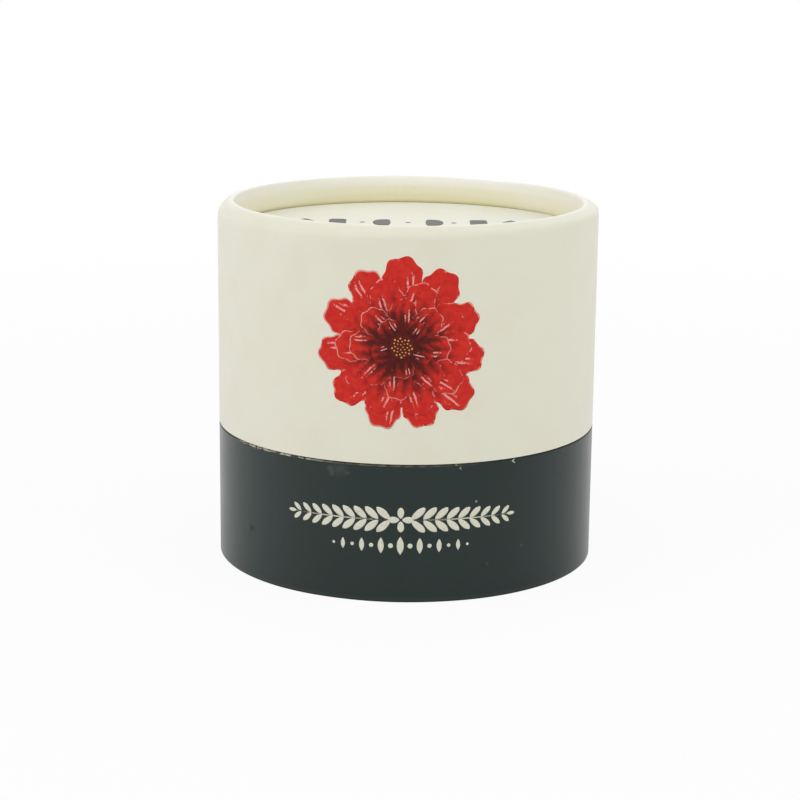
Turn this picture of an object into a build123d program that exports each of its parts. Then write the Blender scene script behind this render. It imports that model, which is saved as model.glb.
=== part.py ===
from build123d import *
import math
import os

# Round gift tube box of wrapped board: a lid with a rolled top edge lifts off a short base,
# guided by a neck tube that is glued into the base. All lengths are in millimetres.
# +Z is up, and the origin is the centre of the face that the box stands on.

# Outside of the closed box
box_diameter = 74.0
box_height = 70.0
base_height = 26.4  # where the lid meets the base

# Papers
wrap_paper = 0.2  # printed paper round the outside
lining_paper = 0.2  # plain paper inside the tubes
disc_paper = 0.2  # paper on both faces of the discs
wrap_trim = 0.15  # how far the lid's papers stop short of its cut lower edge

# Boards
tube_wall = 1.5  # tube that the lid and the base are cut from
neck_wall = 1.2
disc_board = 1.6
disc_glue = 0.1  # glue line round the edge of a disc

# Rolled top edge of the lid
rim_outer_round = 2.3  # over the paper, on the outside of the crest
rim_inner_drop = 2.4  # over the paper, from the crest down to where the leg is upright
rim_depth = 5.3  # from the crest down to the top sheet
rolled_wall = 1.3  # board of the rolled-in leg, pressed flat against the tube

# Top edge of the base
base_round = 0.45  # corners, over the paper
base_turn_in = 6.0  # how far the base's paper is folded down inside

# Neck
headroom = 8.3  # from the neck's top up to the paper under the top board
lid_clearance = 0.2  # between the neck's paper and the lid's lining, all round
neck_round = 0.55  # corners of the neck's top edge, over the paper
neck_turn_in = 12.0  # how far the neck's paper is folded down inside
lining_drop = 3.0  # how far the neck's lining stops below its top

# Foot and inside
foot_recess = 1.6  # from the foot up to the paper under the base
pad_height = 4.0
pad_clearance = 0.3

# Lap of each wrap, where the paper is glued over its own start
lap_width = 8.0
lap_fade = 4.0  # the lap thins out over this height at its top
lid_lap_bearing = 98  # degrees from +X
base_lap_bearing = 104

# Radii, from the outside in
outer_radius = box_diameter / 2
tube_outside = outer_radius - wrap_paper
tube_inside = tube_outside - tube_wall
lining_inside = tube_inside - lining_paper
neck_outside = lining_inside - lid_clearance
neck_board_outside = neck_outside - wrap_paper
neck_board_inside = neck_board_outside - neck_wall
neck_inside = neck_board_inside - lining_paper
disc_radius = tube_inside - disc_glue

# Rolled edge: the crest has a round outside it and a taller, narrower curve inside it
crest_radius = outer_radius - rim_outer_round
outer_arc_height = box_height - rim_outer_round
inner_arc_height = box_height - rim_inner_drop
leg_radius = tube_inside - rolled_wall

# Heights, from the foot up
base_board_low = foot_recess + disc_paper
base_board_top = base_board_low + disc_board
floor_top = base_board_top + disc_paper
pad_top = floor_top + pad_height
top_sheet_top = box_height - rim_depth
top_board_top = top_sheet_top - disc_paper
top_board_low = top_board_top - disc_board
ceiling_low = top_board_low - disc_paper
neck_top = ceiling_low - headroom


def spun(edges):
    """Solid swept once round the box by a closed outline of radius and height."""
    return revolve(make_face(Plane.XZ * (Curve() + edges)), Axis.Z)


def chain(points, closed=True):
    """Straight edges from point to point."""
    last = points[1:] + points[:1] if closed else points[1:]
    return [Line(a, b) for a, b in zip(points, last)]


def tube(inside, outside, low, top):
    wall = Circle(outside) - Circle(inside)
    return Pos(0, 0, low) * extrude(wall, top - low)


def disc(radius, low, top):
    return Pos(0, 0, low) * extrude(Circle(radius), top - low)


def over_the_roll(skin, low):
    """Edges up the side of the lid, over the crest and down the leg, skin thick over the board."""
    side = tube_outside + skin
    leg = leg_radius - skin
    round_size = rim_outer_round - wrap_paper + skin
    drop = rim_inner_drop - wrap_paper + skin
    inner_centre = (crest_radius, inner_arc_height)
    return [
        Line((side, low), (side, outer_arc_height)),
        CenterArc((crest_radius, outer_arc_height), round_size, 0, 90),
        EllipticalCenterArc(inner_centre, crest_radius - leg, drop, 90, arc_size=90),
        Line((leg, inner_arc_height), (leg, top_sheet_top)),
    ]


def lid_tube():
    """Board tube whose top is rolled in and pressed flat, with its leg standing on the top disc."""
    leg_end = [(leg_radius, top_sheet_top), (tube_inside, top_sheet_top)]
    wall = [(tube_inside, base_height), (tube_outside, base_height)]
    return spun(over_the_roll(0, base_height) + chain(leg_end + wall, False))


def lap(low, top, fade, bearing):
    """Second layer of paper: a step along one side, thinning out at the other and at the top."""
    half = math.degrees(lap_width / outer_radius) / 2
    root = outer_radius - wrap_paper / 2
    step = outer_radius + wrap_paper

    def at(radius, angle):
        turn = math.radians(bearing + half + angle)
        return (radius * math.cos(turn), radius * math.sin(turn))

    middle = (step + outer_radius) / 2
    outside = ThreePointArc(at(step, -half), at(middle, 0), at(outer_radius, half))
    inside = ThreePointArc(at(root, -half), at(root, 0), at(root, half))
    sides = [Line(at(root, -half), at(step, -half)), Line(at(root, half), at(outer_radius, half))]
    section = make_face(Curve() + [outside, inside] + sides)
    strip = Pos(0, 0, low) * extrude(section, top - low)
    envelope = spun(chain([(0, low), (step, low), (step, top - fade), (root, top), (0, top)]))
    return strip & envelope


def lid_wrap():
    """Cream paper up the tube, over the roll and down to the top disc."""
    low = base_height + wrap_trim
    outside = over_the_roll(wrap_paper, low)
    inside = over_the_roll(0, low)
    foot = Line((tube_outside, low), (outer_radius, low))
    tip = Line((leg_radius - wrap_paper, top_sheet_top), (leg_radius, top_sheet_top))
    skin = spun(outside + inside + [foot, tip])
    return skin + lap(low, outer_arc_height, lap_fade, lid_lap_bearing)


def rounded_top(inside, outside, low, top, corner):
    """Edges up the outside of a tube wall and over its top, whose two corners are round."""
    shoulder = top - corner
    return [
        Line((outside, low), (outside, shoulder)),
        CenterArc((outside - corner, shoulder), corner, 0, 90),
        Line((outside - corner, top), (inside + corner, top)),
        CenterArc((inside + corner, shoulder), corner, 90, 90),
    ]


def board_wall(inside, outside, low, top, corner):
    """Board tube with a round top edge."""
    wall = rounded_top(inside, outside, low, top, corner)
    return spun(wall + chain([(inside, top - corner), (inside, low), (outside, low)], False))


def folded_paper(inside, outside, low, top, corner, fold):
    """Paper up the outside of such a wall, over its top edge and folded down inside."""
    shoulder = top - corner
    fold_low = top + wrap_paper - fold
    skin_inside = inside - wrap_paper
    skin_outside = outside + wrap_paper
    over = rounded_top(skin_inside, skin_outside, low, top + wrap_paper, corner + wrap_paper)
    under = rounded_top(inside, outside, low, top, corner)
    foot = Line((outside, low), (skin_outside, low))
    end = [(skin_inside, shoulder), (skin_inside, fold_low), (inside, fold_low), (inside, shoulder)]
    return spun(over + under + [foot] + chain(end, False))


def base_wrap():
    """Dark paper round the base, cut flush with the board at the foot."""
    skin = folded_paper(*base_wall, base_turn_in)
    return skin + lap(0, base_height - base_round, lap_fade, base_lap_bearing)


def neck_lining():
    """Paper inside the neck, stepping in where it covers the folded edge of the wrap."""
    step = neck_top - neck_turn_in
    top = neck_top - lining_drop
    over_fold = neck_inside - lining_paper
    step_low = step - lining_paper
    glued = [(neck_board_inside, floor_top), (neck_board_inside, step), (neck_inside, step)]
    bore = [(over_fold, step_low), (neck_inside, step_low), (neck_inside, floor_top)]
    return spun(chain(glued + [(neck_inside, top), (over_fold, top)] + bore))


# Inside, outside, foot, top and corner of the two board walls that carry folded paper
base_wall = (
    tube_inside,
    tube_outside,
    0,
    base_height - wrap_paper,
    base_round - wrap_paper,
)
neck_wall_sizes = (
    neck_board_inside,
    neck_board_outside,
    base_board_top,
    neck_top - wrap_paper,
    neck_round - wrap_paper,
)

parts = {
    "lid_tube": lid_tube(),
    "lid_wrap": lid_wrap(),
    "lid_top_board": disc(disc_radius, top_board_low, top_board_top),
    "lid_top_sheet": disc(disc_radius, top_board_top, top_sheet_top),
    "lid_lining": tube(lining_inside, tube_inside, base_height + wrap_trim, ceiling_low),
    "lid_ceiling_sheet": disc(disc_radius, ceiling_low, top_board_low),
    "base_tube": board_wall(*base_wall),
    "base_wrap": base_wrap(),
    "base_lining": tube(lining_inside, tube_inside, base_board_top, base_height - base_turn_in),
    "base_board": disc(disc_radius, base_board_low, base_board_top),
    "base_foot_sheet": disc(disc_radius, foot_recess, base_board_low),
    "neck_tube": board_wall(*neck_wall_sizes),
    "neck_wrap": folded_paper(*neck_wall_sizes, neck_turn_in),
    "neck_lining": neck_lining(),
    "floor_sheet": disc(neck_board_inside - disc_glue, base_board_top, floor_top),
    "base_pad": disc(neck_inside - pad_clearance, floor_top, pad_top),
}

os.makedirs("parts", exist_ok=True)
for name, solid in parts.items():
    export_step(solid, f"parts/{name}.step")
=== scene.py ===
import math

import bpy
import numpy as np
from mathutils import Matrix, Vector


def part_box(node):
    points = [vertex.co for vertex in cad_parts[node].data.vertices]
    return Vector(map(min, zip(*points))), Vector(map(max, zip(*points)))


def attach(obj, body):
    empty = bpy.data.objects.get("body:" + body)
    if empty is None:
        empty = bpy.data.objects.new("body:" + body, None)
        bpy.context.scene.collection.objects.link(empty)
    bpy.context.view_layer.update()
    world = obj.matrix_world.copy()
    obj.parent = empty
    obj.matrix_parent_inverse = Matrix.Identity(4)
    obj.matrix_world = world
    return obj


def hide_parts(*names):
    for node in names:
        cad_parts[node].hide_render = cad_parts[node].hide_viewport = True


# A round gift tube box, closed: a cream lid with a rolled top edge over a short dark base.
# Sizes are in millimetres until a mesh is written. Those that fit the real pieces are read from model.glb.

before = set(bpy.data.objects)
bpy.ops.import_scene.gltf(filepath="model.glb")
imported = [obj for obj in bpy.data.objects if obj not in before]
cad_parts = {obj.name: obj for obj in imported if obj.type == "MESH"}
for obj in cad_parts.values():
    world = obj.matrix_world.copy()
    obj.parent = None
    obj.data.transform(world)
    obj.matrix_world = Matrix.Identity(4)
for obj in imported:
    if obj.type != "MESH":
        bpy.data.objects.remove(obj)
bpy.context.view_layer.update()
mm = 0.001
dice = np.random.default_rng(74)


def span(node):
    # outer radius, lowest and highest point of a round node
    low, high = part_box(node)
    return round(high.x / mm, 3), round(low.z / mm, 3), round(high.z / mm, 3)


size = {node: span(node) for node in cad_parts}
cadRadius, lidTop = size["lid_wrap"][0], size["lid_wrap"][2]
boardRadius, seam = size["lid_tube"][:2]
boreRadius = size["lid_lining"][0]
sheetTop = size["lid_top_sheet"][2]
baseTop = size["base_wrap"][2]
neckRadius, neckLow, neckTop = size["neck_wrap"]
paper = round(cadRadius - boardRadius, 3)
printRoom = 0.05  # the papers stop this far inside the CAD radius, which leaves room for the inks
outer = cadRadius - printRoom


def newObject(name, data):
    # an object in the scene that shows this data
    made = bpy.data.objects.new(name, data)
    bpy.context.scene.collection.objects.link(made)
    return made


# Camera, at the photograph's viewing angle. Distances are in box radii.
cameraSet = {
    "away": 11.2659,
    "above": 3.46317,
    "pitch": 0.231649,  # radians below level
    "yaw": -0.0029224,
    "roll": 0.0101184,
    "focalPixels": 2157.24,
    "framePixels": 800,
    "sensor": 36,
}


def placeCamera(make):
    # the view direction comes from yaw and pitch, and roll turns the picture about it
    pitch, yaw, roll = make["pitch"], make["yaw"], make["roll"]
    ahead = Vector((math.sin(yaw) * math.cos(pitch), math.cos(yaw) * math.cos(pitch), -math.sin(pitch)))
    right = ahead.cross(Vector((0, 0, 1))).normalized()
    above = right.cross(ahead)
    rightTurned = right * math.cos(roll) + above * math.sin(roll)
    aboveTurned = above * math.cos(roll) - right * math.sin(roll)
    place = Matrix((rightTurned, aboveTurned, -ahead)).transposed().to_4x4()
    place.translation = Vector((0, -make["away"], make["above"])) * cadRadius * mm
    camera = newObject("camera", bpy.data.cameras.new("camera"))
    camera.matrix_world = place
    camera.data.sensor_width = make["sensor"]
    camera.data.lens = make["focalPixels"] / make["framePixels"] * make["sensor"]
    bpy.context.scene.camera = camera


placeCamera(cameraSet)
print("camera placed")


# Shader help

def tint(red, green, blue):
    # a colour as it is seen, 0 to 255, made linear
    seen = np.array([red, green, blue]) / 255
    linear = np.where(seen <= 0.04045, seen / 12.92, ((seen + 0.055) / 1.055) ** 2.4)
    return tuple(float(part) for part in linear)


class Wire:
    # one output of a node; arithmetic on it adds Math nodes
    def __init__(self, shade, socket):
        self.shade, self.socket = shade, socket

    def maths(self, operation, *terms):
        return self.shade.node("Math", {"operation": operation}, dict(enumerate(terms)))

    def __add__(self, other):
        return self.maths("ADD", self, other)

    def __radd__(self, other):
        return self.maths("ADD", other, self)

    def __sub__(self, other):
        return self.maths("SUBTRACT", self, other)

    def __rsub__(self, other):
        return self.maths("SUBTRACT", other, self)

    def __mul__(self, other):
        return self.maths("MULTIPLY", self, other)

    def __rmul__(self, other):
        return self.maths("MULTIPLY", other, self)

    def __abs__(self):
        return self.maths("ABSOLUTE", self)

    def wave(self):
        return self.maths("SINE", self)

    def atLeast(self, other):
        return self.maths("MAXIMUM", self, other)

    def beside(self, name):
        # another output of the same node
        return Wire(self.shade, self.socket.node.outputs[name])


class Shade:
    # the nodes of one material or of the world
    def __init__(self, owner):
        self.owner = owner
        owner.use_nodes = True
        self.tree = owner.node_tree
        self.tree.nodes.clear()

    def node(self, kind, settings, sockets, out=0):
        made = self.tree.nodes.new("ShaderNode" + kind)
        for key, value in settings.items():
            setattr(made, key, value)
        for key, value in sockets.items():
            if isinstance(value, Wire):
                self.tree.links.new(value.socket, made.inputs[key])
            elif made.inputs[key].type == "RGBA":
                made.inputs[key].default_value = (*value, 1)
            else:
                made.inputs[key].default_value = value
        return Wire(self, made.outputs[out]) if made.outputs else None

    def mark(self, name, out="Fac"):
        # what the mesh itself says at each point
        return self.node("Attribute", {"attribute_name": name}, {}, out)

    def noise(self, where, grain, detail=2.0, twist=0.0):
        # grain is the size of one blotch in millimetres
        sockets = {"Vector": where, "Scale": 1 / (grain * mm), "Detail": detail, "Distortion": twist}
        return self.node("TexNoise", {}, sockets)

    def rise(self, value, low, high):
        # 0 below low, 1 above high and smooth between; the other way round where low is the larger
        sockets = {"Value": value, "From Min": low, "From Max": high}
        return self.node("MapRange", {"interpolation_type": "SMOOTHSTEP"}, sockets)

    def band(self, value, low, lowFull, highFull, high):
        # 1 between the two middle values, 0 outside the outer two and smooth between
        return self.rise(value, low, lowFull) * self.rise(value, high, highFull)

    def mix(self, share, first, second):
        # a share below 0 or above 1 counts as 0 or 1
        return self.node("Mix", {"data_type": "RGBA"}, {0: share, 6: first, 7: second}, 2)

    def vector(self, operation, first, second=(0, 0, 0), out=0):
        return self.node("VectorMath", {"operation": operation}, {0: first, 1: second}, out)

    def away(self, where, spot):
        # distance in millimetres from a spot given in millimetres
        return self.vector("DISTANCE", where, tuple(part * mm for part in spot), "Value") * (1 / mm)

    def strongest(self, where, spots, full=0.0):
        # round marks, each given by its spot, reach and strength, of which the strongest one counts;
        # a mark is full over that share of its reach
        mark = 0
        for *spot, reach, strength in spots:
            mark = (self.rise(self.away(where, spot), reach, full * reach) * strength).atLeast(mark)
        return mark

    def strayed(self, where, grain, reach):
        # the place moved by up to half of reach each way, to bend what is drawn there
        drift = self.vector("SUBTRACT", self.noise(where, grain).beside("Color"), (0.5, 0.5, 0.5))
        return self.vector("ADD", where, self.vector("MULTIPLY", drift, (reach * mm,) * 3))

    def bump(self, height, depth):
        # depth is the full relief in millimetres
        return self.node("Bump", {}, {"Strength": 1.0, "Distance": depth * mm, "Height": height})

    def coated(self, colour, rough, relief, gloss):
        sockets = {"Base Color": colour, "Roughness": rough, "Normal": relief, **gloss}
        self.done(self.node("BsdfPrincipled", {}, sockets))
        return self.owner

    def done(self, surface, kind="OutputMaterial"):
        self.node(kind, {}, {"Surface": surface})


def newShade(name):
    # the nodes of a new material, and the place that its patterns follow
    shade = Shade(bpy.data.materials.new(name))
    return shade, shade.node("TexCoord", {}, {}, "Object")


# Materials. Grains are the sizes of blotches, and they and the reliefs are in millimetres.

creamSet = {
    "colour": tint(226, 224, 205),
    "blotch": tint(225, 221, 201),
    "fleck": tint(198, 190, 160),
    "marks": {  # colours of what the mesh marks, each over the one before
        # painted highlight on the crest
        "pale": tint(243, 240, 230),
        # painted bounced light, yellower down the leg
        "stain": tint(228, 222, 172),
        # glue and painted contact shade at the leg's foot
        "glue": tint(186, 180, 124),
        "core": tint(232, 228, 214),
    },
    "rough": 0.45,
    "relief": 0.012,
    "ior": 1.5,
    "sheen": 0.3,
}
whiteSet = {
    "colour": tint(226, 224, 215),
    "blotch": tint(219, 216, 205),
    "fleck": tint(196, 190, 172),
    "marks": {},
    "rough": 0.7,
    "relief": 0.018,
    "ior": 1.4,
    "sheen": 0.1,
}
paperGrain = {"tooth": 0.16, "cloud": 7.0, "along": 0.28, "across": 0.3, "fleck": 0.5}


def paperLook(name, make):
    # uncoated paper: fine tooth, crossing fibres, cloudy colour and a few darker flecks
    shade, where = newShade(name)
    tooth = shade.noise(where, paperGrain["tooth"], 3)
    cloud = shade.noise(where, paperGrain["cloud"], 3)
    along = shade.noise(shade.vector("MULTIPLY", where, (1, 1, 0.24)), paperGrain["along"], 2, 1.2)
    across = shade.noise(shade.vector("MULTIPLY", where, (0.3, 0.3, 1)), paperGrain["across"], 2, 1.6)
    fibre = shade.rise(abs(along - 0.5), 0.035, 0.0) + shade.rise(abs(across - 0.5), 0.03, 0.0)
    fleck = shade.rise(shade.noise(where, paperGrain["fleck"], 1), 0.79, 0.84)
    colour = shade.mix(shade.rise(cloud, 0.3, 0.75), make["colour"], make["blotch"])
    colour = shade.mix(fleck * 0.5 + fibre * 0.05, colour, make["fleck"])
    # the mesh's marks: painted highlight, painted bounced light, glue with painted contact shade, cut core
    for name, marked in make["marks"].items():
        colour = shade.mix(shade.mark(name), colour, marked)
    rough = make["rough"] + 0.08 * (tooth - 0.5) + 0.05 * (cloud - 0.5)
    relief = shade.bump(tooth + 0.45 * fibre + 0.3 * cloud, make["relief"])
    gloss = {"IOR": make["ior"], "Sheen Weight": make["sheen"], "Sheen Roughness": 0.4}
    return shade.coated(colour, rough, relief, gloss)


satinSet = {
    "colour": tint(8, 26, 22),
    "blotch": tint(16, 30, 26),
    "core": tint(205, 203, 182),
    "olive": tint(112, 108, 82),
    # colour of rubbed places, also used for painted light on the left and a painted reflection above the foot
    "rubbed": tint(72, 80, 76),
    # dark colour of the scuffs, also used for painted shade under the lid's edge, at the foot and below the
    # shoulder
    "scuffAndShade": tint(3, 8, 7),
    "rough": 0.25,
    "relief": 0.004,
    "ior": 1.46,
    "gloss": (0.9, 1.0, 1.0),  # colour of what it mirrors straight on
    "paintedLeftLight": 0.13,  # painted light: the left side is made paler
    "peel": 1.1,  # grains
    "tooth": 0.22,
    "grit": 0.6,
    "cloud": 9.0,
    # depths below the top edge, where each of these starts and is full, or starts, is full, and ends
    "edge": (0.5, 0.1),  # rubbed all over
    "lip": (0.42, 0.3),  # painted shade under the lid's edge, darker
    "shoulder": (0.12, 0.22, 0.38, 0.5),  # line that is worn and frayed
    "below": (0.48, 0.56, 0.62, 0.75),  # painted shade, a dark line under it
    # the same as heights above the foot
    "foot": (0.3, 0.05),  # painted contact shadow, dark
    "footReflection": (0.25, 0.4, 0.5, 1.2),  # painted reflection, a paler band
    # and as bearings in radians
    "worn": (-1.14, -1.04, 0.0, 0.5),
    "frayed": (-0.97, -0.91, -0.64, -0.34),
    "nicks": ((15.6, 25.5, 0.2, 0.6), (32.3, 25.85, 0.32, 1.0)),  # bearing, height, size, strength
    "nickStroke": 0.45,  # reach of a nick's spots, in its sizes
    "bareFull": 0.34,  # share of a bare spot's reach over which it is full
    # the rest as place, reach and strength
    "specks": [(9.3, -35.8, 26.2, 0.2, 1.0), (13.1, -34.55, 18.95, 0.32, 0.4)],
    "scuffs": [(-29.1, -22.8, 9.75, 0.5, 0.8), (-28.9, -23.0, 9.9, 1.1, 0.6)],
    "smudges": [
        (-13.7, -34.3, 24.8, 1.0, 1.0), (-13.4, -34.4, 24.2, 0.9, 1.0), (-10.8, -35.3, 24.4, 0.9, 0.75),
        (-12.0, -35.0, 25.1, 2.3, 0.5), (15.3, -33.6, 6.7, 0.5, 1.0), (21.9, -29.8, 9.3, 0.5, 1.0),
    ],
}


def nickSpots(make):
    # each nick is a small v that opens to the right: spots at its point and along both arms
    arms = ((0, 0), (0.5, 0.35), (1, 0.7), (1.5, 1.05), (0.5, -0.35), (1, -0.7), (1.6, -1.1))
    spots = []
    for bearing, height, wide, strength in make["nicks"]:
        for across, up in arms:
            angle = math.radians(bearing) + across * wide / outer
            place = (outer * math.sin(angle), -outer * math.cos(angle), height + up * wide)
            spots.append((*place, make["nickStroke"] * wide, strength))
    return spots


def satinLook(name, make):
    # dark printed paper under a satin film: faint orange peel, rubbed places, a pale core where it is nicked;
    # also painted shade under the lid's edge and at the foot, painted light on the left, painted reflection
    # above the foot
    shade, where = newShade(name)
    peel = shade.noise(where, make["peel"], 2)
    tooth = shade.noise(where, make["tooth"], 3)
    grit = shade.noise(shade.vector("MULTIPLY", where, (0.4, 0.4, 1.4)), make["grit"], 3, 0.6)
    cloud = shade.noise(where, make["cloud"], 3)
    sides = shade.node("SeparateXYZ", {}, {"Vector": where}, "X")
    bearing = sides.maths("ARCTAN2", sides, 0 - sides.beside("Y"))
    height = sides.beside("Z") * (1 / mm)
    depth = baseTop - height
    colour = shade.mix(cloud, make["colour"], make["blotch"])

    bent = shade.strayed(where, 0.9, 1.6)
    smudge = shade.strongest(bent, make["smudges"])
    rubbed = shade.rise(depth, *make["edge"]) * shade.rise(peel + 0.35 * (tooth - 0.5), 0.56, 0.7)
    # painted light: paler towards the left side
    paintedLeftLight = shade.rise(bearing, 0.0, -0.9) * make["paintedLeftLight"]
    # rubbed places and smudges, with painted light on the left and a painted reflection above the foot
    soiledAndPaintedLight = rubbed * 0.4 + smudge * 0.6 + shade.band(height, *make["footReflection"]) * 0.13 + paintedLeftLight
    colour = shade.mix(soiledAndPaintedLight, colour, make["rubbed"])
    scuff = shade.strongest(bent, make["scuffs"])
    # painted shade: darker under the lid's edge and at the foot; the scuffs are dark marks
    lip = shade.rise(depth, *make["lip"])
    foot = shade.rise(height, *make["foot"])
    colour = shade.mix(foot + 0.8 * lip + scuff, colour, make["scuffAndShade"])

    # under the lid's edge, painted shade leaves a dark line above the rubbed part of the shoulder, and
    # another below it
    shoulder = shade.band(depth, *make["shoulder"])
    worn = shade.band(bearing, *make["worn"])
    patchy = shade.rise(grit + 0.5 * (peel - 0.5), 0.3, 0.7)
    colour = shade.mix(shoulder * worn * (0.1 + 0.6 * patchy), colour, make["olive"])
    colour = shade.mix(shade.band(depth, *make["below"]) * worn * 0.6, colour, make["scuffAndShade"])
    frayed = shade.band(bearing, *make["frayed"]) * shoulder
    frayed = frayed * shade.rise(grit + 0.6 * (peel - 0.5), 0.44, 0.52)
    thready = 0.25 + 0.6 * shade.rise(tooth + 0.4 * grit, 0.55, 0.8)
    colour = shade.mix(frayed * thready, colour, make["core"])
    bare = shade.strongest(where, nickSpots(make) + make["specks"], make["bareFull"])
    colour = shade.mix(bare + shade.mark("core"), colour, make["core"])

    rough = make["rough"] + 0.1 * (cloud - 0.5) + 0.06 * (tooth - 0.5)
    rough = rough + 0.18 * smudge + 0.3 * (frayed + bare + foot) + 0.4 * lip
    relief = shade.bump(0.35 * tooth + peel + 0.4 * cloud, make["relief"])
    # a scuff mirrors little, as a black metal does
    gloss = {"IOR": make["ior"], "Specular Tint": make["gloss"], "Metallic": scuff}
    return shade.coated(colour, rough, relief, gloss)


boardSet = {
    "colour": tint(150, 138, 116),
    "dark": tint(112, 103, 86),
    "pale": tint(176, 165, 143),
    "ply": 0.37,
    "wander": 2.5,  # grains
    "fibre": 0.3,
    "speck": 0.35,
    "rough": 0.85,
    "relief": 0.05,
    "ior": 1.4,
}


def boardLook(name, make):
    # grey board: thin plies that show as rings on a cut edge, with fibres and dark specks
    shade, where = newShade(name)
    radius = shade.vector("LENGTH", shade.vector("MULTIPLY", where, (1, 1, 0)), out="Value")
    height = shade.node("SeparateXYZ", {}, {"Vector": where}, "Z")
    wander = shade.noise(where, make["wander"], 2)
    fibre = shade.noise(shade.vector("MULTIPLY", where, (1, 1, 3)), make["fibre"], 4, 0.8)
    ply = ((radius + height) * (2 * math.pi / (make["ply"] * mm)) + 3 * wander).wave()
    speck = shade.rise(shade.noise(where, make["speck"], 1), 0.7, 0.78)
    colour = shade.mix(shade.rise(fibre, 0.3, 0.7), make["colour"], make["pale"])
    colour = shade.mix(shade.rise(ply, 0.2, 1.0) * 0.5 + speck * 0.6, colour, make["dark"])
    relief = shade.bump(fibre + 0.3 * ply, make["relief"])
    return shade.coated(colour, make["rough"] + 0.1 * (fibre - 0.5), relief, {"IOR": make["ior"]})


foamSet = {
    "colour": tint(224, 222, 212),
    # painted shade in the floors of the cells
    "cellFloorShade": tint(190, 187, 175),
    "cellSize": 0.55,
    "fineShare": 2.3,  # how many small cells are as wide as a large one
    "drift": 1.2,  # grain of what bends the small cells
    "warp": 0.8,
    "rough": 0.8,
    "relief": 0.12,
    "ior": 1.4,
}


def foamLook(name, make):
    # cut foam: open cells of two sizes, with painted shade darkening their floors
    shade, where = newShade(name)
    drift = shade.noise(where, make["drift"]).beside("Color")
    bent = shade.node("Mix", {"data_type": "VECTOR"}, {0: make["warp"] * mm, 4: where, 5: drift}, 1)
    scale = 1 / (make["cellSize"] * mm)
    cells = shade.node("TexVoronoi", {}, {"Vector": where, "Scale": scale}, "Distance")
    fine = shade.node("TexVoronoi", {}, {"Vector": bent, "Scale": make["fineShare"] * scale}, "Distance")
    pit = shade.rise(cells, 0.45, 0.05)
    colour = shade.mix(pit * 0.7 + shade.rise(fine, 0.4, 0.1) * 0.25, make["colour"], make["cellFloorShade"])
    relief = shade.bump(cells + 0.5 * fine, make["relief"])
    return shade.coated(colour, make["rough"] + 0.1 * pit, relief, {"IOR": make["ior"]})


inkSet = {
    "cream": (tint(216, 214, 194), tint(190, 190, 168)),  # full and thin
    "dark": (tint(47, 52, 44), tint(66, 71, 60)),
    "gold": (tint(214, 164, 74), tint(150, 84, 40)),
    "tooth": 0.16,  # grains
    "cover": 0.7,
    "rough": 0.42,
    "relief": 0.006,
    "ior": 1.42,
}


def inkLook(name, full, thin):
    # one flat ink, a little thinner here and there
    shade, where = newShade(name)
    tooth = shade.noise(where, inkSet["tooth"], 3)
    cover = shade.noise(where, inkSet["cover"], 3)
    colour = shade.mix(shade.rise(cover + 0.4 * (tooth - 0.5), 0.5, 0.85), full, thin)
    rough = inkSet["rough"] + 0.12 * (cover - 0.5)
    return shade.coated(colour, rough, shade.bump(tooth, inkSet["relief"]), {"IOR": inkSet["ior"]})


petalSet = {
    "red": tint(192, 34, 26),
    "bright": tint(208, 46, 34),
    "maroon": tint(98, 21, 15),
    "night": tint(60, 11, 9),
    "pink": tint(232, 158, 150),
    "outline": tint(232, 170, 156),
    "throat": (4.0, 12.5),  # darkest and lightest distance from the flower's middle
    "nightThroat": (0.8, 6.25),  # the same for the darkest red
    "brush": 1.3,  # grains
    "fine": 0.3,
    "rough": 0.45,
    "ior": 1.27,
}
rosetteSet = {
    "middle": (-0.9, 48.2),
    "tiers": (  # petals, radius of their roots, length, half width, layer
        (11, 4.6, 11.4, 3.3, 0),
        (10, 3.2, 9.6, 2.9, 2),
        (8, 2.0, 7.4, 2.5, 4),
        (5, 0.8, 4.9, 1.9, 6),
    ),
    "headRadius": 2.3,
    "seedReach": 1.9,
    "seeds": 30,
}


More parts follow.
